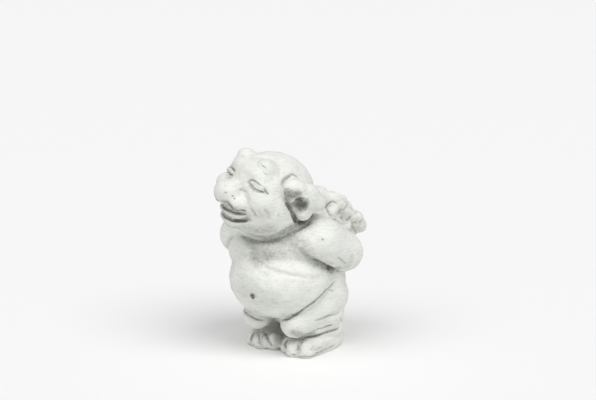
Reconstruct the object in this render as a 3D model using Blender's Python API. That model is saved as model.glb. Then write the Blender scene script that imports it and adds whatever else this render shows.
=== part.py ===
"""A pot-bellied garden troll, cast in one piece of white stone.

The troll squats on two broad feet with its arms behind its back. Its big head is
turned to its right, tipped back and leaning on its left shoulder. It is built as a
sculptor would build it: rough forms are pressed together, covered with one skin,
smoothed, and then carved with strokes.

Run it with: blender --background --python part.py
Metres, +Z up. The troll faces -Y, its left hand is at +X, and it stands on Z = 0.
"""

import math

import bmesh
import bpy
import numpy as np
from mathutils import Euler, Matrix, Vector
from mathutils.bvhtree import BVHTree

# The driving sizes. The figure is a free form: all that it has is a share of these.
HEIGHT = 0.300  # from the soles to the top of the far horn bud
WIDTH = 0.1967  # from elbow to elbow
DEPTH = 0.2467  # from the nose to the end of the mane

# The places and radii below are in units of about a millimetre. The finished figure is
# scaled to the driving sizes.
VOXEL = 1.7  # units, the size of the skin's faces before it is thinned
TRIANGLES = 9600  # what the finished solid keeps

# The head is turned to the troll's right, tipped back, and leans on the near shoulder.
HEAD_CENTRE = (-2, -46, 246)
HEAD_TURN = (-20, 10, -14)  # degrees about X, Y and Z, Y first

BELLY = 76  # half its width
ARM = 30  # radius of an upper arm
THIGH = 36  # radius at the hip
TOE = 12  # half the width of a toe
CURL = 13  # radius of a curl of the mane
CARVING = 1.0  # how deep the strokes are, as a share of their own depth

STONE = (0.78, 0.78, 0.75, 1.0)
ROUGHNESS = 0.85


def clear_scene():
    for obj in list(bpy.data.objects):
        bpy.data.objects.remove(obj)


def ball(clay, centre, radii, turn=(0, 0, 0)):
    """Adds an egg of clay. turn is in degrees about X, Y and Z."""
    angles = Euler([math.radians(a) for a in turn])
    place = Matrix.LocRotScale(Vector(centre), angles, Vector(radii))
    bmesh.ops.create_icosphere(clay, subdivisions=3, radius=1, matrix=place)


def limb(clay, points, radii):
    """Adds a tapering round limb through the points, with a round end at each."""
    joints = [Vector(p) for p in points]
    for joint, radius in zip(joints, radii):
        ball(clay, joint, (radius, radius, radius))
    for start, end, wide, narrow in zip(joints, joints[1:], radii, radii[1:]):
        along = end - start
        turn = along.to_track_quat("Z", "Y").to_matrix().to_4x4()
        bmesh.ops.create_cone(
            clay,
            cap_ends=True,
            segments=24,
            radius1=wide,
            radius2=narrow,
            depth=along.length,
            matrix=Matrix.Translation((start + end) / 2) @ turn,
        )


def mesh_of(clay, name):
    mesh = bpy.data.meshes.new(name)
    clay.to_mesh(mesh)
    clay.free()
    return mesh


def finished(obj):
    """The object's mesh with its modifiers applied, and the object removed."""
    graph = bpy.context.evaluated_depsgraph_get()
    mesh = bpy.data.meshes.new_from_object(obj.evaluated_get(graph))
    bpy.data.objects.remove(obj)
    return mesh


def skin(clay, spread, voxel=VOXEL):
    """Covers the clay with one skin and rounds its inner corners over about spread."""
    obj = bpy.data.objects.new("clay", mesh_of(clay, "clay"))
    bpy.context.scene.collection.objects.link(obj)
    cover = obj.modifiers.new("cover", "REMESH")
    cover.mode = "VOXEL"
    cover.voxel_size = voxel
    rounds = round(1.2 * (spread / voxel) ** 2)
    if rounds:
        smooth = obj.modifiers.new("smooth", "SMOOTH")
        smooth.factor = 0.5
        smooth.iterations = rounds
    mesh = finished(obj)
    covered = bmesh.new()
    covered.from_mesh(mesh)
    bpy.data.meshes.remove(mesh)
    return covered


def add(clay, more, place=Matrix()):
    """Presses another lump into the clay, moved by place."""
    mesh = mesh_of(more, "more")
    mesh.transform(place)
    clay.from_mesh(mesh)
    bpy.data.meshes.remove(mesh)


def outer_skin(clay):
    """Removes the small shells that overlapping lumps and a flat cut can leave."""
    waiting = set(clay.verts)
    shells = []
    while waiting:
        front = [waiting.pop()]
        shell = []
        while front:
            vert = front.pop()
            shell.append(vert)
            for edge in vert.link_edges:
                other = edge.other_vert(vert)
                if other in waiting:
                    waiting.remove(other)
                    front.append(other)
        shells.append(shell)
    largest = max(shells, key=len)
    for shell in shells:
        if shell is not largest:
            bmesh.ops.delete(clay, geom=shell, context="VERTS")


def hollow(clay, centre, radii, turn=(0, 0, 0)):
    """Cuts an egg-shaped hollow out of the clay with a Boolean."""
    cutter = bmesh.new()
    ball(cutter, centre, radii, turn)
    tool = bpy.data.objects.new("tool", mesh_of(cutter, "tool"))
    obj = bpy.data.objects.new("clay", mesh_of(clay, "clay"))
    for o in (tool, obj):
        bpy.context.scene.collection.objects.link(o)
    cut = obj.modifiers.new("cut", "BOOLEAN")
    cut.operation = "DIFFERENCE"
    cut.object = tool
    mesh = finished(obj)
    bpy.data.objects.remove(tool)
    left = bmesh.new()
    left.from_mesh(mesh)
    return left


def torso():
    """Belly, chest, back, seat and upper arms. The far shoulder comes forward."""
    clay = bmesh.new()
    ball(clay, (0, -22, 114), (BELLY, BELLY + 1, 0.8 * BELLY))
    ball(clay, (0, -36, 100), (0.82 * BELLY, 0.76 * BELLY, 0.57 * BELLY))  # its sag
    ball(clay, (0, -14, 160), (66, 56, 46))  # chest
    ball(clay, (0, -40, 162), (56, 42, 28))  # its front, up to the jaw
    ball(clay, (0, 24, 136), (60, 64, 66))  # back
    ball(clay, (4, 58, 156), (44, 36, 34))  # upper back, under the mane
    ball(clay, (6, 18, 196), (42, 38, 34))  # nape
    ball(clay, (38, 44, 172), (24, 32, 20))  # between the mane and the near arm
    ball(clay, (0, 22, 68), (50, 50, 44))  # seat
    ball(clay, (-52, -24, 170), (34, 32, 28))  # far shoulder, into the chest
    ball(clay, (46, -26, 172), (36, 32, 28))  # near breast, up into the shoulder
    ball(clay, (-41, -43, 152), (33, 31, 30))  # far breast
    ball(clay, (52, -4, 196), (20, 22, 16))  # the near shoulder's top, up to the ear
    for side in (-1, 1):
        ball(clay, (34 * side, 26, 80), (38, 40, 42))  # buttock
        ball(clay, (42 * side, 26, 108), (34, 34, 34))  # loin
    limb(clay, [(66, -8, 176), (70, 37, 150)], [ARM + 3, ARM])
    limb(clay, [(-73, -29, 168), (-73, 34, 148)], [ARM, ARM - 2])
    return skin(clay, 7)


def arms():
    """Forearms folded behind, with the hands clasped on the small of the back."""
    clay = bmesh.new()
    limb(clay, [(69, 37, 148), (30, 84, 122)], [25, 15])
    limb(clay, [(-74, 34, 146), (-30, 84, 116)], [25, 15])
    clay = skin(clay, 4)
    ball(clay, (4, 93, 120), (24, 11, 14), (0, 8, 0))  # the near hand, over the far one
    ball(clay, (-12, 88, 110), (24, 10, 14), (0, -8, 0))
    for finger in range(4):
        drop = 6.5 * finger
        limb(clay, [(-8, 97, 129 - drop), (-26, 97, 128 - drop)], [5.6, 4.6])
    return skin(clay, 1)


def legs():
    """Thighs and calves folded in a squat, from broad hips to round knees."""
    clay = bmesh.new()
    for side in (-1, 1):
        hip = (44 * side, 27, 84)
        knee = (36 * side, -34, 51)
        heel = (44 * side, 36, 34)
        limb(clay, [hip, knee], [THIGH, 0.61 * THIGH])
        limb(clay, [heel, knee], [24, 14])
        ball(clay, (43 * side, 26, 58), (31, 31, 30))
    return skin(clay, 4)


def feet():
    """Broad flat feet with three round toes each, and the web that joins them."""
    clay = bmesh.new()
    for side in (-1, 1):
        ball(clay, (36 * side, 20, 10), (28, 57, 22))
        ball(clay, (50 * side, -2, 10), (13, 26, 14))  # from the outer toe along the side
    for across, reach in ((-49, -22), (-30, -28), (-13, -20), (15, -20), (32, -28), (49, -22)):
        ball(clay, (across, reach, 10), (TOE - 1, 15, 14))
        ball(clay, (across, reach - 1, 7), (TOE + 1, 15, 9))  # its pad
    ball(clay, (0, 16, 6), (24, 38, 14))
    return skin(clay, 1.5)


def head():
    """The head about its own centre, facing -Y, before it is turned."""
    clay = bmesh.new()
    ball(clay, (0, 6, 8), (55, 62, 50))  # skull
    ball(clay, (0, -12, -30), (50, 46, 42))  # jaw
    ball(clay, (0, -25, 4), (52, 39, 36))  # the front of the face, where the eyes are
    ball(clay, (0, -43, 20), (42, 21, 19))  # brow
    ball(clay, (0, -34, -46), (34, 26, 24))  # muzzle
    for side in (-1, 1):
        ball(clay, (30 * side, -30, -14), (28, 28, 28))  # cheek
        ball(clay, (34 * side, -8, -18), (27, 32, 32))
        ball(clay, (33 * side, 8, -32), (26, 32, 30))  # jowl
        ball(clay, (17 * side, -42, 29), (17, 17, 15))  # from the brow up to the horn bud
        ball(clay, (34 * side, -41, 8), (14, 16, 10))  # around the eye
    ball(clay, (-36, -50, -12), (15, 15, 15))  # the far cheek, puffed out beside the nose
    clay = skin(clay, 7)
    for side in (-1, 1):
        ball(clay, (25 * side, -40, 35), (15, 15, 12))  # horn bud
    clay = skin(clay, 4)
    limb(clay, [(0, -42, 0), (0, -66, -18)], [12, 17])  # bridge of the nose
    ball(clay, (0, -69, -18), (21, 19, 18))  # its tip
    for side in (-1, 1):
        ball(clay, (18 * side, -60, -28), (13, 14, 12))  # nostril
    return skin(clay, 3)


def ear(side):
    """A fleshy ear that points backwards, with a bowl in front of a round hole."""
    clay = bmesh.new()
    ball(clay, (57 * side, -2, 18), (15, 21, 17))  # top
    ball(clay, (57 * side, 21, 14), (16, 26, 21))  # shell
    ball(clay, (57 * side, 40, 12), (14, 18, 15))  # tip
    ball(clay, (55 * side, 28, -7), (13, 14, 14))  # lobe
    clay = skin(clay, 3)
    clay = skin(hollow(clay, (83 * side, -9, 10), (22, 19, 16)), 3)
    return hollow(clay, (66 * side, 12, -1), (24, 10, 12))


def hair():
    """A mane of curls from between the ears to the clasped arms, in two layers of rows."""
    clay = bmesh.new()
    limb(clay, [(38, 16, 234), (46, 44, 222), (47, 66, 207)], [12, 12, 12])  # a smooth lock
    for row in range(3):
        for column in range(3):
            across = -26 + 30 * column
            along = 44 + 24 * row
            height = 211 - 15 * row - 1.5 * row * row
            ball(clay, (across, along, height), (24, 22, 20))
    for row in range(-2, 5):
        for column in range(5):
            jog = 3 * math.sin(5 * row + 3 * column)
            across = -38 + 21.5 * column
            along = 38 + 17 * row + jog
            height = 226 - 10.3 * row - 0.7 * row * row
            shift = 5 * (row % 2)
            if row >= 0 or column < 4:
                ball(clay, (across + shift, along, height), (CURL, CURL - 1, CURL - 1))
            if 0 <= row < 4:
                ball(clay, (across - shift, along - 9, height - 24), (CURL, CURL - 1, CURL - 1))
                ball(clay, (across, along + 8, height - 10), (15, 15, 14))  # under the valleys
    return skin(clay, 1.5)


def through(points, steps=5):
    """A smooth line through the points."""
    p = np.array([points[0], *points, points[-1]], float)
    t = np.linspace(0, 1, steps, endpoint=False)[:, None]
    line = []
    for a, b, c, d in zip(p, p[1:], p[2:], p[3:]):
        bend = 2 * b + (c - a) * t + (2 * a - 5 * b + 4 * c - d) * t**2
        line.append((bend + (3 * b - a - 3 * c + d) * t**3) / 2)
    line.append(p[-1:])
    return np.concatenate(line)


def carve(clay, strokes):
    """Draws strokes on the skin. Each is a line, its half width and its depth, and the line
    is first laid on the skin. A negative depth raises a ridge."""
    clay.normal_update()
    tree = BVHTree.FromBMesh(clay)
    places = np.array([v.co for v in clay.verts])
    normals = np.array([v.normal for v in clay.verts])
    shift = np.zeros(len(places))
    for points, width, depth in strokes:
        line = np.array([tree.find_nearest(Vector(p))[0] for p in through(points)])
        low = line.min(axis=0) - width
        high = line.max(axis=0) + width
        near = np.nonzero(((places > low) & (places < high)).all(axis=1))[0]
        apart = np.full(len(near), 1e9)
        for a, b in zip(line, line[1:]):
            along = b - a
            reach = (places[near] - a) @ along / max(along @ along, 1e-9)
            closest = a + np.clip(reach, 0, 1)[:, None] * along
            apart = np.minimum(apart, np.linalg.norm(places[near] - closest, axis=1))
        fall = np.clip(1 - (apart / width) ** 2, 0, 1) ** 2
        deeper = np.abs(depth * fall) > np.abs(shift[near])
        shift[near] = np.where(deeper, -depth * fall, shift[near])
    places += normals * CARVING * shift[:, None]
    for vert, place in zip(clay.verts, places):
        vert.co = place


def mirrored(strokes):
    """The strokes and their mirror images."""
    other = [([(-x, y, z) for x, y, z in line], width, depth) for line, width, depth in strokes]
    return strokes + other


def face_strokes():
    """Closed eyes, the folds of the nose and cheeks, and the smile, in the head's own space."""
    strokes = [
        ([(22, -57, 5), (29, -59, 11), (37, -49, 9), (46, -41, 5)], 2.8, 2.6),  # over the lid
        ([(22, -57, 4), (32, -51, 2), (40, -49, 1), (48, -39, 3)], 2.8, 3),  # under the lid
        ([(29, -57, 8), (36, -50, 6), (43, -44, 5)], 2.6, -1.6),  # the lid
        ([(17, -60, -8), (26, -57, -10), (36, -56, -16), (38, -53, -26)], 4, 3.5),  # nostril fold
        ([(5, -70, -36), (13, -66, -38)], 6, 5),  # nostril
        ([(41, -52, -26), (46, -47, -29), (46, -42, -34)], 3.5, 2.2),  # mouth corner
        ([(54, -40, -19), (56, -32, -24), (54, -25, -31)], 4.5, 1.6),  # smile fold
        ([(44, -10, 34), (46, -19, 26), (51, -20, 16), (58, -10, 2), (54, 12, -14)], 4, 3),
        ([(55, 13, -16), (54, 25, -24)], 4.5, 3),  # between the jowl and the lobe
    ]
    across = [
        ([(-32, -47, -37), (-14, -57, -42), (14, -57, -42), (32, -47, -37)], 4, 3),
        ([(-34, -44, -38), (-15, -56, -46), (15, -56, -46), (34, -44, -38)], 3.6, -2.4),  # lip
        ([(-37, -43, -39), (-22, -53, -50), (0, -60, -53), (20, -54, -54), (37, -44, -43)], 5.5, 8),
        ([(-24, -44, -61), (0, -52, -65), (24, -44, -61)], 6, 1.6),  # fold over the chin
    ]
    return mirrored(strokes) + across


def body_strokes():
    """Folds of the chest, belly, thighs and toes, and the navel."""
    near = [
        ([(-5, -81, 152), (26, -82, 144), (55, -67, 134), (74, -24, 124)], 5, 2),  # under the breast
        ([(8, -96, 102), (7, -96, 99)], 5, 7),  # navel
        ([(16, -79, 154), (17, -79, 154)], 4, -1.5),  # nipple
        ([(-38, -78, 152), (-39, -78, 152)], 4, -1.5),
        ([(0, 66, 56), (0, 76, 80), (0, 70, 98)], 7, 6),  # between the buttocks
    ]
    both = [
        ([(34, -53, 61), (52, -43, 74), (66, -32, 87), (72, -8, 101), (72, 14, 116)], 4, 3.5),
        ([(61, -54, 169), (70, -29, 151), (71, 6, 132)], 5, 4),  # armpit
        ([(36, -47, 35), (47, -10, 28), (60, 8, 31), (68, 32, 33)], 4, 3),  # under the thigh
        ([(53, -13, 36), (60, 4, 38), (66, 15, 42)], 3, 1.6),  # folds behind the knee
        ([(63, -21, 57), (67, -3, 59), (75, 26, 63)], 3, 2),
        ([(26, -26, 23), (23, -37, 16), (22, -38, 4)], 3.4, 4.5),  # between the toes
        ([(40, -24, 23), (43, -36, 16), (44, -38, 4)], 3.4, 4.5),
    ]
    return near + mirrored(both)


def figure():
    clay = torso()
    for part in (arms(), legs(), feet(), hair()):
        add(clay, part)
    turn = Euler([math.radians(a) for a in HEAD_TURN], "YXZ").to_matrix()
    set_head = Matrix.Translation(HEAD_CENTRE) @ turn.to_4x4()
    skull = head()
    for side in (-1, 1):
        add(skull, ear(side))
    add(clay, skull, set_head)
    clay = skin(clay, 1.5)
    outer_skin(clay)
    strokes = body_strokes()
    for points, width, depth in face_strokes():
        strokes.append(([tuple(set_head @ Vector(p)) for p in points], width, depth))
    carve(clay, strokes)
    return clay


def stand(clay):
    """Cuts the soles flat on the ground."""
    everything = clay.verts[:] + clay.edges[:] + clay.faces[:]
    bmesh.ops.bisect_plane(
        clay, geom=everything, plane_co=(0, 0, 0), plane_no=(0, 0, 1), clear_inner=True
    )
    edges = [e for e in clay.edges if e.is_boundary]
    bmesh.ops.holes_fill(clay, edges=edges)
    outer_skin(clay)
    bmesh.ops.triangulate(clay, faces=clay.faces[:])


def stone():
    material = bpy.data.materials.new("cast_stone")
    material.use_nodes = True
    surface = material.node_tree.nodes["Principled BSDF"]
    surface.inputs["Base Color"].default_value = STONE
    surface.inputs["Roughness"].default_value = ROUGHNESS
    surface.inputs["Metallic"].default_value = 0.0
    return material


def place(mesh):
    """Scales the figure to its sizes, and centres its box on the origin in X and Y."""
    box = np.array([v.co for v in mesh.vertices])
    low = box.min(axis=0)
    high = box.max(axis=0)
    middle = (low + high) / 2
    mesh.transform(Matrix.Translation((-middle[0], -middle[1], 0)))
    mesh.transform(Matrix.Diagonal((*(np.array((WIDTH, DEPTH, HEIGHT)) / (high - low)), 1)))


def build():
    clear_scene()
    obj = bpy.data.objects.new("clay", mesh_of(figure(), "clay"))
    bpy.context.scene.collection.objects.link(obj)
    thin = obj.modifiers.new("thin", "DECIMATE")
    thin.ratio = TRIANGLES / (2 * len(obj.data.polygons))
    mesh = finished(obj)
    clay = bmesh.new()
    clay.from_mesh(mesh)
    stand(clay)
    clay.to_mesh(mesh)
    clay.free()
    place(mesh)
    troll = bpy.data.objects.new("troll_statue", mesh)
    bpy.context.scene.collection.objects.link(troll)
    mesh.materials.append(stone())
    mesh.shade_smooth()
    mesh.set_sharp_from_angle(angle=math.radians(70))


build()
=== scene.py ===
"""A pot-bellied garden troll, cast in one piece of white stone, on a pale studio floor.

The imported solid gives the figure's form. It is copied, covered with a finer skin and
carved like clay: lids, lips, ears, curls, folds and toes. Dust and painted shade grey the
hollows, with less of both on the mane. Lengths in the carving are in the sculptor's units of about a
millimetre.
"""

import math

import bmesh
import bpy
import numpy as np
from mathutils import Euler, Matrix, Vector, noise
from mathutils.bvhtree import BVHTree
from mathutils.kdtree import KDTree


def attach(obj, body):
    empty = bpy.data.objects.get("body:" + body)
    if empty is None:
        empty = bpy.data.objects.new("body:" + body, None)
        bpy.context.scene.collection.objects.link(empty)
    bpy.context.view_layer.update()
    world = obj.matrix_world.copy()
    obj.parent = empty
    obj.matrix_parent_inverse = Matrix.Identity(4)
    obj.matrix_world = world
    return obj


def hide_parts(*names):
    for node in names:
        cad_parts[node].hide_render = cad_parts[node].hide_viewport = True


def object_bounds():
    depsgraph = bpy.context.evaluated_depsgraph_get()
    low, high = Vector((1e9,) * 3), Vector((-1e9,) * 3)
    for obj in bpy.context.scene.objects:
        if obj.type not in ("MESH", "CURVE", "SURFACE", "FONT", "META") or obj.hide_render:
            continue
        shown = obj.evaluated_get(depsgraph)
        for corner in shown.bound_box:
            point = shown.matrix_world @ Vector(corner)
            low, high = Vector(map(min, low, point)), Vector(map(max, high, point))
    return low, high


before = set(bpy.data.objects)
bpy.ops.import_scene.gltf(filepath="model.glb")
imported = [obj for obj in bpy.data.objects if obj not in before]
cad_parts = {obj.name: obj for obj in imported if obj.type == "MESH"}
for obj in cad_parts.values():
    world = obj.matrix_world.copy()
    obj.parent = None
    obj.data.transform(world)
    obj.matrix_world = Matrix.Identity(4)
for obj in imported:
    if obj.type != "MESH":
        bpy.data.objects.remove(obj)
cad_box = [list(corner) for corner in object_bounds()]

# The troll as it leaves the mould
# The troll is one lump of white cast stone, turned out of a rubber mould. Its skin here is
# the solid's own, made finer and rubbed down where the solid is rougher than the casting.

DRAWN_LOW = np.array((-102.547, -132.790, 0))  # units, the corners of the figure's box
DRAWN_HIGH = np.array((99.524, 120.584, 308.166))  # as it was drawn
CAST_LOW, CAST_HIGH = (np.array(corner) for corner in cad_box)
UNIT = (CAST_HIGH - CAST_LOW) / (DRAWN_HIGH - DRAWN_LOW)  # metres in a unit, on each axis
HEAD_CENTRE = (-2, -46, 246)
HEAD_TURN = (-20, 10, -14)  # degrees about X, Y and Z, Y first
HEAD_SET = Euler([math.radians(a) for a in HEAD_TURN], "YXZ").to_matrix().to_4x4()
SET_HEAD = Matrix.Translation(HEAD_CENTRE) @ HEAD_SET  # from the head's own space
EAR_HOLE_OUT, EAR_HOLE_BACK, EAR_HOLE_UP = 70, 10, 3  # its centre, in the head's own space
EAR_HOLE_RADII = (22, 12, 12.5)
SKIN = 1.0  # units, the size of the fine skin's faces
SKIN_ROUNDS = 12  # of smoothing
MANE_STEP = 17  # units along the mane, in which it falls by the two numbers below
MANE_FALL = 10.3
MANE_FALL_MORE = 0.7
RUB_STEEPNESS = 1.6  # how soon the rubbing fades out near the end of its reach


def in_units(places):
    return (places - CAST_LOW) / UNIT + DRAWN_LOW


def in_metres(places):
    return (places - DRAWN_LOW) * UNIT + CAST_LOW


def places_of(mesh):
    places = np.empty(3 * len(mesh.vertices))
    mesh.vertices.foreach_get("co", places)
    return places.reshape(-1, 3)


def set_places(mesh, places):
    mesh.vertices.foreach_set("co", places.ravel())
    mesh.update()


def copied_solid():
    """A merged copy of the solid in the sculptor's units."""
    clay = bmesh.new()
    clay.from_mesh(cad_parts["troll_statue"].data)
    bmesh.ops.remove_doubles(clay, verts=clay.verts, dist=1e-6)
    mesh = bpy.data.meshes.new("troll")
    clay.to_mesh(mesh)
    clay.free()
    set_places(mesh, in_units(places_of(mesh)))
    obj = bpy.data.objects.new("troll", mesh)
    bpy.context.scene.collection.objects.link(obj)
    return obj


def apply_modifiers(obj):
    bpy.ops.object.select_all(action="DESELECT")
    obj.select_set(True)
    bpy.context.view_layer.objects.active = obj
    for modifier in list(obj.modifiers):
        bpy.ops.object.modifier_apply(modifier=modifier.name)


def remove(obj):
    mesh = obj.data
    bpy.data.objects.remove(obj)
    bpy.data.meshes.remove(mesh)


def hollow_out(obj, centre, radii):
    """Cuts an egg-shaped hollow, placed in the head's own space, out of the figure."""
    bpy.ops.object.select_all(action="DESELECT")
    bpy.ops.mesh.primitive_ico_sphere_add(subdivisions=5, radius=1)
    tool = bpy.context.object
    tool.matrix_world = SET_HEAD @ Matrix.LocRotScale(Vector(centre), None, Vector(radii))
    cut = obj.modifiers.new("cut", "BOOLEAN")
    cut.operation = "DIFFERENCE"
    cut.object = tool
    apply_modifiers(obj)
    remove(tool)


def lay_fine_skin(obj):
    cover = obj.modifiers.new("cover", "REMESH")
    cover.mode = "VOXEL"
    cover.voxel_size = SKIN
    smooth = obj.modifiers.new("smooth", "SMOOTH")
    smooth.factor = 0.5
    smooth.iterations = SKIN_ROUNDS
    apply_modifiers(obj)


def smoothed_places(obj, rounds):
    """Where the vertices would be if the skin were rubbed smooth."""
    copy = obj.copy()
    copy.data = obj.data.copy()
    bpy.context.scene.collection.objects.link(copy)
    rub = copy.modifiers.new("rub", "SMOOTH")
    rub.factor = 0.5
    rub.iterations = rounds
    apply_modifiers(copy)
    places = places_of(copy.data)
    remove(copy)
    return places


def rub_down(obj, spots, rounds):
    """Rubs the lumps down around each spot, a place and its reach."""
    places = places_of(obj.data)
    rubbed = smoothed_places(obj, rounds)
    share = np.zeros(len(places))
    for place, reach in spots:
        apart = np.linalg.norm(places - np.array(place), axis=1)
        share = np.maximum(share, np.clip(RUB_STEEPNESS * (1 - apart / reach), 0, 1))
    set_places(obj.data, places + (rubbed - places) * share[:, None])


def on_mane(across, along, start, top):
    """A place on the mane, which falls from a height of top, ever steeper."""
    step = (along - start) / MANE_STEP
    return (across, along, top - MANE_FALL * step - MANE_FALL_MORE * step * step)


def mane_spots():
    """The mane's edge beside the near ear, and its whole slope."""
    spots = [((60, 50, 208), 34), ((58, 80, 190), 30)]
    for row in range(6):
        for across in (-40, -12, 16, 44):
            spots.append((on_mane(across, 34 + MANE_STEP * row, 34, 234), 24))
    return spots


def head_spots(spots):
    """Moves spots from the head's own space to the figure's."""
    return [(SET_HEAD @ Vector(place), reach) for place, reach in spots]


EAR_BOWL = ((62, -10, 14), 15)  # in the head's own space, as the next five are
NOSTRIL_FOLD = ((38, -54, -23), 15)
NOSE_SIDE = ((25, -58, -11), 11)
MOUTH_CORNER = ((35, -41, -42), 11)
HORN_BUD = ((32, -43, 38), 25)
FAR_EYE = ((-36, -53, 7), 16)
NEAR_TOES = ((41, -32, 16), 10)
FAR_CREASE = ((-44, -48, 67), 14)
BREAST = [((5, -82, 149), 16), ((28, -81, 143), 14), ((45, -72, 138), 14)]

troll = copied_solid()
for side in (-1, 1):
    hollow_out(troll, (EAR_HOLE_OUT * side, EAR_HOLE_BACK, EAR_HOLE_UP), EAR_HOLE_RADII)
lay_fine_skin(troll)
rub_down(troll, mane_spots(), 70)
rub_down(troll, head_spots([EAR_BOWL, NOSTRIL_FOLD, NOSE_SIDE, MOUTH_CORNER]), 60)
rub_down(troll, [NEAR_TOES, FAR_CREASE], 60)
rub_down(troll, BREAST, 60)
rub_down(troll, head_spots([HORN_BUD]), 220)
rub_down(troll, head_spots([FAR_EYE]), 30)

# The troll's carving
# The mould was taken from a clay original, whose eyes, mouth and folds were drawn in with
# a round tool. A stroke here is a line of places, its half width, its depth and its grey.
# A negative depth raises a ridge, no depth leaves only a grey patch, and the grey is dust with painted
# shade.

LIFT = 0.8  # how much the tool is lifted at the ends of a stroke
HALO = 3  # half widths from a stroke's middle to the edge of its grey, a soft painted shade beside a cut
# how grey the soft painted shade beside each cut is, mixed with dust
HALO_GREY = 0.35
PORE = (1.8, 1.6, 1)  # half width, depth and grey, which is dirt and painted shade in the pit
CURL_ROWS = 9
CURLS_IN_ROW = 6
CURL_ACROSS = 17  # units between curls, across and along the mane
CURL_ALONG = 12
MANE_EDGE = 46


def normals_of(mesh):
    normals = np.empty(3 * len(mesh.vertices))
    mesh.vertex_normals.foreach_get("vector", normals)
    return normals.reshape(-1, 3)


def skin_tree(mesh):
    clay = bmesh.new()
    clay.from_mesh(mesh)
    tree = BVHTree.FromBMesh(clay)
    clay.free()
    return tree


def through(points, steps=5):
    """A smooth line through the points."""
    knots = np.array([points[0], *points, points[-1]], float)
    way = np.linspace(0, 1, steps, endpoint=False)[:, None]
    line = []
    for a, b, c, d in zip(knots, knots[1:], knots[2:], knots[3:]):
        bend = 2 * b + (c - a) * way + (2 * a - 5 * b + 4 * c - d) * way**2
        line.append((bend + (3 * b - a - 3 * c + d) * way**3) / 2)
    line.append(knots[-1:])
    return np.concatenate(line)


def spindle(places, line):
    """How far each place is from the line, counted more towards its ends, and the stroke's
    strength there: a tool is pressed in and lifted out."""
    apart = np.full(len(places), 1e9)
    press = np.zeros(len(places))
    for i, (a, b) in enumerate(zip(line, line[1:])):
        along = b - a
        reach = np.clip((places - a) @ along / max(along @ along, 1e-9), 0, 1)
        far = np.linalg.norm(places - a - reach[:, None] * along, axis=1)
        share = (i + reach) / (len(line) - 1)
        here = np.sqrt(1 - LIFT * (2 * share - 1) ** 6)
        nearer = far / here < apart
        apart = np.where(nearer, far / here, apart)
        press = np.where(nearer, here, press)
    return apart, press


def carve(obj, strokes, dust_and_shade):
    """Lays the strokes on the skin, cuts them in and adds their dust and painted shade."""
    tree = skin_tree(obj.data)
    places = places_of(obj.data)
    normals = normals_of(obj.data)
    shift = np.zeros(len(places))
    for points, width, depth, grey in strokes:
        line = np.array([tree.find_nearest(Vector(p))[0] for p in through(points)])
        low = line.min(axis=0) - HALO * width
        high = line.max(axis=0) + HALO * width
        near = np.nonzero(((places > low) & (places < high)).all(axis=1))[0]
        apart, press = spindle(places[near], line)
        fall = press * np.clip(1 - (apart / width) ** 2, 0, 1) ** 2
        deeper = np.abs(depth * fall) > np.abs(shift[near])
        shift[near] = np.where(deeper, -depth * fall, shift[near])
        # the grey along a stroke: dust with painted shade in its groove
        greyed = np.clip(1.3 * fall - 0.1, 0, 1)
        # beside a cut, a soft painted shade fades out over HALO half widths
        if depth != 0:
            halo = np.clip(1 - apart / (HALO * width), 0, 1) ** 2
            greyed = np.maximum(greyed, HALO_GREY * press * halo)
        dust_and_shade[near] = np.maximum(dust_and_shade[near], grey * greyed)
    set_places(obj.data, places + normals * shift[:, None])


def mirrored(strokes):
    """The strokes and their mirror images."""
    return strokes + [([(-x, y, z) for x, y, z in line], *tool) for line, *tool in strokes]


def on_head(strokes):
    """Moves strokes from the head's own space to the figure's."""
    return [([tuple(SET_HEAD @ Vector(p)) for p in line], *tool) for line, *tool in strokes]


def pores(places):
    """Air bubbles that broke open at the skin."""
    return [([place, place], *PORE) for place in places]


def eyes():
    """Closed lids, each a raised bar between two lines, and the crow's feet."""
    near = [
        (
            [(23, -57, 5), (24, -57, 8), (26, -56, 11), (31, -54, 12), (38, -51, 10), (44, -46, 8)],
            1.6, 0.9, 0.5,
        ),
        ([(44, -46, 7), (46, -43, 5), (50, -37, 2)], 1.6, 1, 0.7),
        ([(23, -57, 6), (28, -56, 5), (35, -55, 3), (42, -50, 2), (46, -43, 3)], 1.9, 1.2, 0.7),
        ([(27, -57, 8), (33, -55, 8), (39, -51, 7), (45, -45, 5)], 2.8, -2.6, 0),
        ([(27, -55, 2), (33, -53, 1), (40, -51, 0), (46, -46, 1)], 2.2, 0.5, 0.2),
        ([(45, -44, 3), (51, -40, 0)], 1.4, 0.5, 0.35),
    ]
    far = [
        ([(-45, -44, 8), (-38, -51, 10), (-31, -55, 12), (-24, -58, 12)], 1.6, 0.7, 0.5),
        ([(-46, -43, 4), (-40, -51, 3), (-33, -55, 3), (-26, -57, 4)], 1.6, 0.8, 0.5),
        ([(-45, -45, 5), (-39, -51, 7), (-33, -55, 8), (-26, -58, 8)], 2.6, -1, 0),
        ([(-27, -57, 11), (-20, -60, 12), (-10, -63, 11)], 3, 1.6, 0.75),
        ([(-27, -56, 2), (-19, -60, 4), (-10, -62, 4)], 3.2, 1.2, 0.7),
        ([(-27, -58, 7), (-20, -60, 7), (-14, -62, 6)], 2.8, -1.2, 0),
    ]
    return near + far


def nose():
    """The folds beside the nose, the openings under it, and painted shade in the openings and under the
    nose.
    """
    sides = [
        ([(24, -56, -12), (32, -55, -16), (36, -53, -22)], 2.4, 0.6, 0.3),
        ([(10, -76, -34), (20, -71, -37), (29, -59, -37)], 11, 0, 0.5),
        ([(15, -74, -32), (22, -70, -34)], 7, 2.4, 0.6),
        ([(19, -71, -34), (24, -69, -35)], 4, 1.6, 0.9),
        ([(23, -68, -36), (27, -58, -36), (32, -50, -33)], 3, 1.2, 0.85),
    ]
    return mirrored(sides) + pores([(20, -72, -19), (23, -70, -21), (15, -82, -18)])


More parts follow.
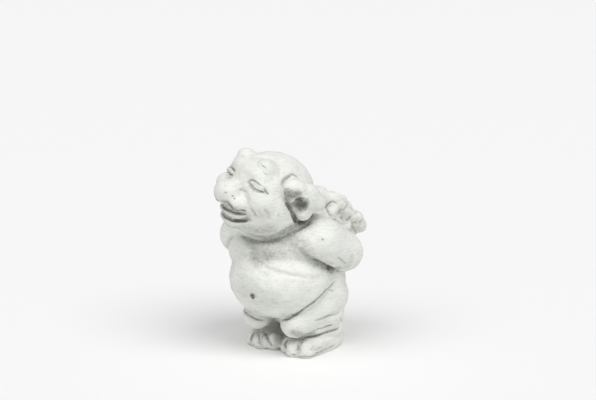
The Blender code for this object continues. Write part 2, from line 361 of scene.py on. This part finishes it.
def mouth():
    """A wide smile with a full upper lip, and the folds at its corners, with painted shade in the mouth and
    above the lip.
    """
    across = [
        (
            [(-16, -55, -43), (-3, -57, -44), (9, -55, -42), (20, -51, -41), (30, -47, -37)],
            3.6, 1, 0.6,
        ),
        (
            [(-26, -52, -43), (-8, -60, -45), (4, -60, -46), (17, -58, -46), (25, -53, -44), (38, -46, -35)],
            2.6, -0.8, 0,
        ),
        (
            [(-16, -51, -52), (-4, -54, -54), (9, -52, -54), (19, -47, -51), (28, -43, -46), (31, -43, -44)],
            4.2, 1.3, 0.88,
        ),
        ([(29, -43, -45), (35, -43, -42)], 2.4, 0.8, 0.35),
        ([(35, -45, -38), (38, -44, -37)], 7, 0, 0.25),
        ([(-22, -52, -41), (-13, -56, -43)], 3.2, 0.6, 0.2),
        ([(-22, -49, -50), (-12, -53, -53)], 3.6, 0.8, 0.3),
        ([(36, -43, -42), (39, -43, -41)], 4.4, -2.2, 0),
        ([(33, -47, -37), (36, -46, -36)], 3.2, -1.4, 0),
        ([(-8, -50, -65), (9, -46, -64), (21, -43, -60), (30, -37, -56)], 4, 0.8, 0.3),
    ]
    corners = [
        ([(39, -50, -25), (44, -45, -29), (46, -42, -33)], 4, 1.2, 0.3),
        ([(49, -47, -22), (52, -42, -26), (50, -36, -32)], 3.2, 0.8, 0.16),
        ([(54, -38, -19), (55, -30, -24), (52, -23, -31)], 4, 1, 0.22),
        ([(37, -54, -14), (48, -49, -18), (53, -41, -24), (50, -30, -33)], 4, 0.4, 0.08),
        ([(59, -15, -17), (59, -15, -23)], 1.4, 0.5, 0.35),
    ]
    return mirrored(corners) + across


def brow():
    """Two low horn buds, with their rings and cuts, and faint lines at the near temple."""
    near = [
        (
            [(31, -53, 31), (24, -56, 34), (21, -54, 39), (22, -51, 42), (27, -46, 45), (35, -42, 43)],
            1.6, 0.5, 0.22,
        ),
        ([(30, -53, 36), (36, -48, 34)], 1.6, 0.8, 0.35),
        ([(34, -51, 29), (39, -44, 25)], 1.6, 0.5, 0.25),
        ([(40, -37, 25), (43, -34, 21)], 1.5, 0.5, 0.25),
        ([(33, -24, 39), (39, -25, 31), (45, -25, 22)], 1.8, 0.6, 0.22),
        ([(29, -50, 39), (30, -49, 39)], 9, -1.2, 0),
        ([(30, -51, 42), (29, -51, 42)], 1.5, 0.6, 0.45),
        ([(28, -53, 38), (27, -53, 38)], 1.5, 0.6, 0.4),
    ]
    far = [
        ([(-22, -58, 32), (-22, -58, 27)], 1.8, 0.8, 0.35),
        ([(-17, -57, 34), (-11, -56, 35)], 1.8, 0.8, 0.4),
    ]
    return near + far


def ears():
    """The line where each ear leaves the cheek, its rim, and painted shade in its bowl, its hole and the gap
    under it.
    """
    strokes = [
        ([(46, -19, 18), (43, -16, 27), (42, -9, 33), (42, -5, 38), (44, 5, 36)], 3, 1.4, 0.5),
        ([(47, -18, 19), (57, -21, 14), (55, -10, 4), (55, 0, -5)], 2.6, 1.2, 0.5),
        ([(55, -6, -1), (54, 4, -8), (53, 12, -14), (52, 20, -21), (51, 28, -27)], 7, 1.4, 0.85),
        ([(51, 22, -26), (49, 34, -28), (49, 41, -27)], 4, -1.5, 0),
        ([(58, 5, 4), (56, 12, 4), (57, 18, -1)], 13, 0, 0.75),
        ([(62, 18, 6), (63, 19, 0)], 8, 0, 0.8),
        ([(62, -4, 3), (63, -2, 12), (69, 4, 17), (72, 13, 14), (70, 22, 6)], 2.6, -0.8, 0),
        ([(63, -21, 16), (63, -14, 12), (63, -7, 13), (66, -1, 19)], 12, 0, 0.72),
        ([(60, -12, 5), (62, -8, 9)], 9, 0, 0.55),
        ([(66, 22, 2), (69, 30, 1), (68, 42, 3)], 5, 0.6, 0.1),
    ]
    return mirrored(strokes)


def near_curls():
    """Small puffs of the mane beside the near ear, and the thin grooves between them."""
    puffs = [
        (56, 31, 212),
        (63, 45, 218),
        (62, 53, 207),
        (62, 62, 205),
        (54, 41, 197),
        (53, 54, 190),
        (59, 64, 184),
        (62, 74, 194),
        (62, 85, 194),
        (58, 84, 179),
        (60, 94, 178),
        (57, 69, 213),
        (58, 45, 228),
        (52, 60, 222),
    ]
    grooves = [
        [(45, 24, 214), (47, 25, 217), (53, 26, 222), (57, 28, 224), (59, 34, 221)],
        [(47, 25, 214), (53, 21, 211), (57, 21, 206), (60, 25, 203)],
        [
            (65, 51, 218),
            (63, 46, 213),
            (61, 41, 210),
            (58, 42, 206),
            (56, 41, 203),
            (55, 50, 197),
            (56, 58, 193),
        ],
        [(56, 58, 193), (57, 65, 191), (58, 68, 196), (61, 73, 199), (62, 81, 200), (59, 91, 201)],
        [(62, 40, 217), (62, 45, 222), (64, 49, 221), (65, 53, 218)],
        [(58, 28, 199), (55, 40, 191), (54, 53, 185), (57, 59, 186), (57, 66, 189)],
        [(57, 67, 191), (57, 73, 183), (56, 83, 173), (53, 94, 164)],
        [(60, 76, 185), (61, 85, 184), (64, 90, 185), (65, 94, 188)],
        [(57, 60, 217), (60, 60, 211), (62, 68, 205), (60, 76, 203)],
    ]
    cuts = [(line, 2.2, 1.6, 0.5) for line in grooves]
    return [([puff, puff], 11, -4.4, 0) for puff in puffs] + cuts + pores([(62, 74, 184)])


def curls():
    """Uneven puffs over the rest of the mane, in rows that are set off like bricks."""
    puffs = []
    for row in range(CURL_ROWS):
        for column in range(CURLS_IN_ROW):
            wave = math.sin(7 * row + 4 * column)
            across = -MANE_EDGE + CURL_ACROSS * column + 8 * (row % 2) + 3 * wave
            along = 24 + CURL_ALONG * row + 3 * math.cos(5 * row + 9 * column)
            place = on_mane(across, along, 38, 238)
            if across < MANE_EDGE:
                puffs.append(([place, place], 8.5 + 1.5 * wave, -3.4, 0))
    return puffs


def chest():
    """The groove under the jaw, the soft folds of the breasts, and the armpits, with painted shade under the
    jaw and in the armpits.
    """
    near = [
        (
            [
                (-43, -61, 176),
                (-25, -70, 176),
                (-10, -75, 176),
                (5, -75, 176),
                (18, -71, 179),
                (31, -64, 182),
                (40, -56, 186),
            ],
            7, 1.6, 0.55,
        ),
        (
            [(5, -75, 176), (20, -70, 179), (34, -62, 184), (45, -50, 190), (52, -36, 197), (54, -20, 204)],
            6, 1.6, 0.6,
        ),
        ([(-26, -69, 176), (-12, -76, 174), (0, -81, 166), (8, -80, 158), (17, -80, 153)], 5, 0.8, 0.3),
        ([(-6, -80, 152), (6, -81, 148), (17, -83, 145)], 4, 0.7, 0.22),
        (
            [(17, -83, 145), (31, -80, 141), (38, -77, 139), (47, -71, 137), (59, -59, 131)],
            4, 0.8, 0.22,
        ),
        ([(59, -59, 131), (69, -43, 126), (72, -28, 124)], 3.5, 0.6, 0.15),
        ([(25, -88, 137), (30, -88, 133)], 4, 0.3, 0.25),
        ([(14, -81, 155), (17, -80, 158), (21, -79, 155), (18, -81, 151)], 1.6, 0.5, 0.3),
        ([(66, -33, 152), (67, -24, 149), (68, -12, 143), (68, -2, 137), (68, 7, 131)], 3, 1.5, 0.7),
        ([(66, 2, 134), (69, 8, 130), (71, 13, 128)], 6, 4, 0.95),
        ([(76, -22, 148), (80, -12, 146), (82, -4, 141)], 3, 0.8, 0.3),
        ([(85, -20, 154), (88, -8, 148), (90, 0, 145)], 5, -1.2, 0),
        ([(93, -8, 155), (92, 2, 148), (92, 14, 140)], 2.4, 0.8, 0.3),
        ([(72, 14, 128), (74, 20, 124), (78, 30, 122)], 2.4, 1, 0.4),
        ([(99, 35, 156), (99, 33, 151)], 1.6, 0.2, 0.3),
    ]
    both = [([(59, -52, 169), (63, -49, 161), (66, -39, 154), (67, -27, 150)], 3.5, 1, 0.4)]
    spots = [(85, -33, 184), (67, -22, 149), (68, -14, 144), (69, -6, 139), (71, 10, 124)]
    return near + mirrored(both) + pores(spots)


def belly():
    """The folds where the belly rests on the thighs, and the navel with its knot, with painted shade in the
    folds, the navel and on the far thigh under the belly.
    """
    near = [
        ([(68, 3, 99), (73, 10, 97)], 2, 0.8, 0.5),
        ([(38, -65, 74), (35, -57, 68), (40, -57, 71)], 1.5, 0.5, 0.4),
        ([(4, -94, 103), (6, -93, 97)], 4.4, 1.4, 0.75),
        ([(5, -93, 100), (6, -93, 100)], 2, -2.2, 0),
        ([(-49, -49, 59), (-37, -54, 56), (-29, -54, 53), (-23, -51, 50), (-16, -41, 47)], 3, 0.6, 0.75),
    ]
    crease = [
        (
            [
                (23, -50, 56),
                (35, -50, 61),
                (42, -45, 66),
                (51, -40, 73),
                (56, -37, 79),
                (64, -30, 85),
                (69, -18, 93),
            ],
            3, 1.2, 0.7,
        ),
    ]
    both = [
        (
            [(56, -37, 79), (64, -30, 85), (69, -18, 93), (70, -5, 100), (70, 6, 103), (72, 14, 111)],
            2.6, 1.3, 0.55,
        ),
    ]
    return near + crease + mirrored(both) + pores([(57, -37, 80), (69, -8, 99), (70, 3, 101)])


def legs():
    """The crease under each thigh, the folds of the knees, and the toes, with painted shade in the creases
    and between the toes.
    """
    near = [
        (
            [(38, -26, 26), (42, -17, 26), (47, -6, 26), (54, 3, 28), (59, 14, 30), (66, 33, 32)],
            3, 1.4, 0.75,
        ),
        ([(56, -9, 39), (59, 3, 39), (66, 17, 42)], 2.4, 1.2, 0.55),
        ([(62, -18, 56), (65, -6, 57), (67, 4, 59), (71, 16, 59), (73, 26, 61)], 2.4, 1.2, 0.5),
        ([(73, 26, 52), (66, 43, 40)], 1.6, 0.7, 0.3),
        ([(44, -54, 49), (50, -49, 46), (54, -43, 44)], 1.6, 0.5, 0.25),
        ([(18, -26, 21), (17, -31, 18), (17, -33, 14), (20, -35, 10)], 2.4, 1.6, 0.6),
        ([(39, -30, 18), (40, -32, 14), (41, -34, 10)], 2, 1.2, 0.45),
        ([(14, -34, 14), (13, -34, 11)], 6, -2, 0),
        ([(31, -40, 17), (31, -41, 12)], 9, -2.2, 0),
        ([(50, -32, 17), (54, -22, 17)], 11, -1.4, 0),
        ([(40, -40, 7), (46, -39, 6), (50, -36, 6)], 1.6, -0.6, 0),
        (
            [(34, -43, 5), (44, -38, 5), (56, -30, 5), (60, -12, 5), (62, 5, 6), (63, 28, 8)],
            2.4, 0.7, 0.5,
        ),
    ]
    far = [
        ([(-42, -17, 26), (-47, -6, 26), (-54, 3, 28), (-59, 14, 30), (-66, 33, 32)], 2.6, 1.4, 0.7),
        ([(-17, -38, 42), (-18, -36, 42)], 7, -2, 0),
        ([(-45, -29, 21), (-46, -33, 14), (-47, -36, 8)], 3.4, 1.8, 0.5),
        ([(-36, -30, 21), (-30, -36, 18), (-26, -40, 13), (-24, -40, 8)], 3.6, 2.2, 0.55),
        ([(-28, -24, 22), (-21, -29, 18), (-13, -33, 13), (-8, -33, 7)], 3.4, 2, 0.55),
        ([(-12, -26, 20), (-10, -28, 16)], 8, -3.4, 0),
        ([(-37, -38, 15), (-36, -40, 11)], 6, -1.6, 0),
        ([(-19, -35, 13), (-18, -35, 10)], 7, -1.8, 0),
    ]
    return near + far


def stains_and_shade():
    """Broad grey patches without any cut: damp stains together with painted shade under the jaw, on the
    chest and arm, in the armpits, at the knee, between the legs and over the lower belly.
    """
    patches = [
        (
            [(-3, -99, 192), (4, -84, 186), (18, -74, 184), (35, -72, 190), (45, -60, 198), (50, -40, 206)],
            15, 0.55,
        ),
        ([(-4, -108, 202), (7, -99, 199), (20, -89, 197), (36, -82, 203)], 18, 0.34),
        ([(-25, -70, 174), (-8, -76, 172), (18, -74, 172), (44, -55, 181), (59, -47, 189)], 14, 0.3),
        ([(-4, -80, 156), (10, -82, 147)], 17, 0.4),
        ([(40, -55, 186), (52, -40, 195), (57, -25, 204)], 13, 0.34),
        ([(0, -81, 166), (16, -80, 160), (28, -75, 166)], 22, 0.42),
        ([(20, -79, 160), (42, -66, 172), (60, -50, 175), (68, -44, 163)], 24, 0.3),
        ([(60, -46, 165), (66, -33, 152), (72, 8, 130), (82, 10, 134)], 13, 0.42),
        ([(86, 20, 131), (95, 20, 142), (98, 20, 151)], 9, 0.22),
        ([(44, -53, 43), (51, -46, 40), (47, -22, 33), (53, -10, 36)], 11, 0.45),
        ([(-8, -24, 34), (-14, -20, 34), (-4, -20, 24), (4, -10, 24)], 18, 0.28),
        ([(48, -30, 12), (60, 0, 12), (62, 30, 14)], 8, 0.15),
        ([(-8, -83, 76), (6, -72, 67), (20, -60, 64), (41, -57, 72)], 20, 0.2),
        ([(-10, -90, 110), (10, -92, 108), (30, -84, 100)], 34, 0.14),
    ]
    return [(line, width, 0, grey) for line, width, grey in patches]


# each vertex's grey: dust and painted shade together
dust_and_shade = np.zeros(len(troll.data.vertices))
carve(troll, on_head(eyes() + nose() + mouth() + brow() + ears()), dust_and_shade)
carve(troll, chest() + belly() + legs() + near_curls() + curls() + stains_and_shade(), dust_and_shade)

# The troll's weathered and shaded skin
# Cast stone keeps fine pits and the marks of the brush that cleaned it. Dust and painted
# shade grey it in the grooves, the ears, under the jaw, between the feet and wherever little sky is seen.

WAVES = [(16, 0.45), (4.5, 0.16)]  # units, the length and height of broad and small ones
HOLLOW_ROUNDS = 30  # of smoothing, which shows what lies hollow
HOLLOW_DEPTH = 1.6  # units
# how grey the hollows are made: dust with painted shade
HOLLOW_DUST_AND_SHADE = 0.6
RAYS = 48  # cast from each vertex of the solid to find how much of the sky it sees, which sets the painted shade
SKY_REACH = 70  # units
MANE_LESS_SHADE = 0.7  # shares of the painted shade and of the dust that are taken away on the mane, to keep it light
MANE_LESS_DUST = 0.4
SOLE = 1.2  # units, below which the skin is pressed flat on the floor
MOST_TRIANGLES = 196000
CLEAN = (0.82, 0.828, 0.79, 1)
GREY = (0.66, 0.668, 0.63, 1)
# the darkest grey, for dust and painted shade in the deepest hollows
DEEP_DUST_AND_SHADE = (0.2, 0.2, 0.18, 1)


def uneven(obj):
    """The hand's unevenness: low waves and small dents over the whole skin."""
    places = places_of(obj.data)
    normals = normals_of(obj.data)
    height = np.empty(len(places))
    for i, place in enumerate(places):
        height[i] = sum(high * noise.noise(Vector(place) / long) for long, high in WAVES)
    set_places(obj.data, places + normals * height[:, None])


def hollowness(obj):
    """How deep each vertex lies in a hollow, from 0 to 1."""
    sunk = smoothed_places(obj, HOLLOW_ROUNDS) - places_of(obj.data)
    return np.clip((sunk * normals_of(obj.data)).sum(axis=1) / HOLLOW_DEPTH, 0, 1)


def ray_fan(count):
    """Directions spread evenly over a half sphere about +Z, more of them near +Z."""
    step = np.arange(count) + 0.5
    turn = step * math.pi * (3 - math.sqrt(5))
    out = np.sqrt(step / count)
    return np.stack([out * np.cos(turn), out * np.sin(turn), np.sqrt(1 - out * out)], axis=1)


def shut_in():
    """How much of the sky each vertex of the solid doesn't see, and those vertices' places."""
    solid = copied_solid()
    tree = skin_tree(solid.data)
    places = places_of(solid.data)
    normals = normals_of(solid.data)
    fan = ray_fan(RAYS)
    shut = np.zeros(len(places))
    for i, (place, normal) in enumerate(zip(places, normals)):
        turn = np.array(Vector(normal).to_track_quat("Z", "Y").to_matrix())
        start = Vector(place + normal * 0.6)
        for direction in fan @ turn.T:
            far = tree.ray_cast(start, Vector(direction), SKY_REACH)[3]
            if far is not None:
                shut[i] += (1 - far / SKY_REACH) / RAYS
    remove(solid)
    return shut, places


def spread_to(values, sources, places):
    """Carries values from source places to other places, blending the four nearest."""
    tree = KDTree(len(sources))
    for i, source in enumerate(sources):
        tree.insert(Vector(source), i)
    tree.balance()
    carried = np.empty(len(places))
    for i, place in enumerate(places):
        found = tree.find_n(Vector(place), 4)
        weights = [1 / (far * far + 1) for _, _, far in found]
        total = sum(w * values[index] for w, (_, index, _) in zip(weights, found))
        carried[i] = total / sum(weights)
    return carried


def mane_share(places):
    """The high back, where the mane lies and less painted shade and dust are laid: 1 there, 0 elsewhere."""
    back = np.clip((places[:, 1] - 15) / 20, 0, 1)
    high = np.clip((places[:, 2] - 150) / 20, 0, 1)
    return back * high


def store_dust_and_shade(obj, dust_and_shade):
    """Adds dust and painted shade to the hollows, and stores them and the painted shade of the unseen sky on
    the skin for its colour.
    """
    dust_and_shade = np.maximum(dust_and_shade, HOLLOW_DUST_AND_SHADE * hollowness(obj))
    places = places_of(obj.data)
    # painted shade: darker where the solid sees less sky
    shade = spread_to(*shut_in(), places)
    mane_part = mane_share(places)
    kept = {"dust_and_shade": dust_and_shade * (1 - MANE_LESS_DUST * mane_part), "shade": shade * (1 - MANE_LESS_SHADE * mane_part)}
    for name, values in kept.items():
        layer = obj.data.attributes.new(name, "FLOAT", "POINT")
        layer.data.foreach_set("value", values.astype(np.float32))


def settle(obj):
    """Sets the soles flat on the floor, thins the skin and keeps it in the solid's box."""
    places = places_of(obj.data)
    places[places[:, 2] < SOLE, 2] = 0
    set_places(obj.data, in_metres(np.clip(places, DRAWN_LOW, DRAWN_HIGH)))
    thin = obj.modifiers.new("thin", "DECIMATE")
    thin.ratio = min(1, MOST_TRIANGLES / (2 * len(obj.data.polygons)))
    apply_modifiers(obj)
    set_places(obj.data, np.clip(places_of(obj.data), CAST_LOW, CAST_HIGH))


def noise_field(tree, scale, detail, stretch=(1, 1, 1)):
    """Noise over the stone, in the piece's own coordinates."""
    where = tree.nodes.new("ShaderNodeTexCoord")
    place = tree.nodes.new("ShaderNodeMapping")
    place.inputs["Scale"].default_value = stretch
    tree.links.new(where.outputs["Object"], place.inputs["Vector"])
    field = tree.nodes.new("ShaderNodeTexNoise")
    field.inputs["Scale"].default_value = scale
    field.inputs["Detail"].default_value = detail
    tree.links.new(place.outputs["Vector"], field.inputs["Vector"])
    return field.outputs["Fac"]


def ranged(tree, value, low, high, to_low, to_high):
    """Turns values from low to high into values from to_low to to_high."""
    node = tree.nodes.new("ShaderNodeMapRange")
    node.inputs["From Min"].default_value = low
    node.inputs["From Max"].default_value = high
    node.inputs["To Min"].default_value = to_low
    node.inputs["To Max"].default_value = to_high
    tree.links.new(value, node.inputs["Value"])
    return node.outputs["Result"]


def worked_out(tree, kind, first, second):
    """A sum, difference or product of a value and a value or number."""
    node = tree.nodes.new("ShaderNodeMath")
    node.operation = kind
    for socket, value in zip(node.inputs, (first, second)):
        if isinstance(value, float):
            socket.default_value = value
        else:
            tree.links.new(value, socket)
    return node.outputs["Value"]


def stored(tree, name):
    node = tree.nodes.new("ShaderNodeAttribute")
    node.attribute_name = name
    return node.outputs["Fac"]


def fine_pits(tree):
    """Round pits of all sizes in one of four cells of the stone, 1 where they are deep."""
    where = tree.nodes.new("ShaderNodeTexCoord")
    cells = tree.nodes.new("ShaderNodeTexVoronoi")
    cells.inputs["Scale"].default_value = 150
    tree.links.new(where.outputs["Object"], cells.inputs["Vector"])
    chosen = tree.nodes.new("ShaderNodeSeparateColor")
    tree.links.new(cells.outputs["Color"], chosen.inputs["Color"])
    pit_size = ranged(tree, chosen.outputs["Red"], 0.75, 1.0, 0.0, 0.16)
    depth = worked_out(tree, "SUBTRACT", pit_size, cells.outputs["Distance"])
    return ranged(tree, depth, 0.0, 0.05, 0.0, 1.0)


def grime_and_shade(tree, pits):
    """How grey the stone is: mottle, brush streaks and flecks all over, and the stored dust with painted
    shade.
    """
    mottle = ranged(tree, noise_field(tree, 28, 4), 0.35, 0.7, 0.0, 0.14)
    streaks = ranged(tree, noise_field(tree, 90, 3, (1, 1, 5)), 0.48, 0.75, 0.0, 0.2)
    flecks = ranged(tree, noise_field(tree, 380, 3), 0.46, 0.66, 0.0, 1.0)
    patches = ranged(tree, noise_field(tree, 160, 5), 0.3, 0.7, 0.75, 1.1)
    patches = worked_out(tree, "ADD", patches, worked_out(tree, "MULTIPLY", flecks, 0.25))
    # painted shade where the solid sees little sky
    shaded = ranged(tree, stored(tree, "shade"), 0.4, 0.85, 0.0, 0.32)
    dust_and_shade_sum = worked_out(tree, "ADD", stored(tree, "dust_and_shade"), shaded)
    total = worked_out(tree, "MULTIPLY", dust_and_shade_sum, patches)
    flecks = worked_out(tree, "MULTIPLY", flecks, 0.09)
    pits = worked_out(tree, "MULTIPLY", pits, 0.35)
    for part in (mottle, streaks, flecks, pits):
        total = worked_out(tree, "ADD", total, part)
    return total


def relief(tree, pits):
    """The grain of the stone, fine and coarse, with the pits sunk into it."""
    coarse = worked_out(tree, "MULTIPLY", noise_field(tree, 140, 3), 1.5)
    height = worked_out(tree, "ADD", noise_field(tree, 420, 4), coarse)
    height = worked_out(tree, "SUBTRACT", height, worked_out(tree, "MULTIPLY", pits, 1.5))
    bump = tree.nodes.new("ShaderNodeBump")
    bump.inputs["Strength"].default_value = 0.5
    bump.inputs["Distance"].default_value = 0.0006
    tree.links.new(height, bump.inputs["Height"])
    return bump.outputs["Normal"]


def cast_stone():
    """White cast stone with pits, a chalky mottle, brush marks, and dust with painted shade in the hollows.
    """
    material = bpy.data.materials.new("cast_stone")
    material.use_nodes = True
    tree = material.node_tree
    surface = tree.nodes["Principled BSDF"]
    surface.inputs["Roughness"].default_value = 0.86
    surface.inputs["Specular IOR Level"].default_value = 0.25
    pits = fine_pits(tree)
    ramp = tree.nodes.new("ShaderNodeValToRGB")
    ramp.color_ramp.elements[0].color = CLEAN
    ramp.color_ramp.elements[1].color = DEEP_DUST_AND_SHADE
    ramp.color_ramp.elements.new(0.3).color = GREY
    tree.links.new(grime_and_shade(tree, pits), ramp.inputs["Fac"])
    tree.links.new(ramp.outputs["Color"], surface.inputs["Base Color"])
    tree.links.new(relief(tree, pits), surface.inputs["Normal"])
    return material


uneven(troll)
store_dust_and_shade(troll, dust_and_shade)
settle(troll)
troll.data.materials.clear()
troll.data.materials.append(cast_stone())
troll.data.shade_smooth()
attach(troll, "root")
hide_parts("troll_statue")

# The studio
# A pale painted floor that goes back beyond the picture, a broad high light from the
# right, a weaker one from the left, and light from all around. The camera looks down a little.

FLOOR_SIZE = 60  # metres
FLOOR_PAINT = (0.9, 0.905, 0.9, 1)
ROOM_LIGHT = 0.325
CAMERA_AZIMUTH = 38  # degrees from the troll's front towards its left
CAMERA_ELEVATION = 12
CAMERA_REACH = 1986.67  # units
CAMERA_AIM_RIGHT = 12  # units from the drawing's origin
CAMERA_AIM_UP = 219.45
LENS = 80  # millimetres


def pale_floor():
    bpy.ops.object.select_all(action="DESELECT")
    bpy.ops.mesh.primitive_plane_add(size=FLOOR_SIZE)
    floor = bpy.context.object
    floor.name = "floor"
    material = bpy.data.materials.new("floor_paint")
    material.use_nodes = True
    surface = material.node_tree.nodes["Principled BSDF"]
    surface.inputs["Base Color"].default_value = FLOOR_PAINT
    surface.inputs["Roughness"].default_value = 0.9
    surface.inputs["Specular IOR Level"].default_value = 0.1
    floor.data.materials.append(material)


def soft_sun(name, azimuth, elevation, strength, width):
    """A broad far light. Azimuth is counted from the troll's front towards its left."""
    lamp = bpy.data.lights.new(name, "SUN")
    lamp.energy = strength
    lamp.angle = math.radians(width)
    obj = bpy.data.objects.new(name, lamp)
    obj.rotation_euler = (math.radians(90 - elevation), 0, math.radians(azimuth))
    bpy.context.scene.collection.objects.link(obj)


def room_light():
    world = bpy.data.worlds.new("studio")
    world.use_nodes = True
    background = world.node_tree.nodes["Background"]
    background.inputs["Color"].default_value = (1, 1, 1, 1)
    background.inputs["Strength"].default_value = ROOM_LIGHT
    bpy.context.scene.world = world


def camera():
    turn = math.radians(CAMERA_AZIMUTH)
    tilt = math.radians(CAMERA_ELEVATION)
    back = Vector((math.sin(turn) * math.cos(tilt), -math.cos(turn) * math.cos(tilt), math.sin(tilt)))
    right = Vector((math.cos(turn), math.sin(turn), 0))
    up = back.cross(right)
    lens = bpy.data.cameras.new("camera")
    lens.lens = LENS
    lens.clip_end = 100
    obj = bpy.data.objects.new("camera", lens)
    place = right * CAMERA_AIM_RIGHT + up * CAMERA_AIM_UP + back * CAMERA_REACH
    obj.location = in_metres(np.array(place))
    obj.rotation_euler = Matrix((right, up, back)).transposed().to_euler()
    bpy.context.scene.collection.objects.link(obj)
    bpy.context.scene.camera = obj


pale_floor()
soft_sun("key", azimuth=76, elevation=52, strength=1.61, width=40)
soft_sun("fill", azimuth=-4, elevation=54, strength=1.2, width=50)
room_light()
bpy.context.scene.view_settings.view_transform = "Standard"
camera()
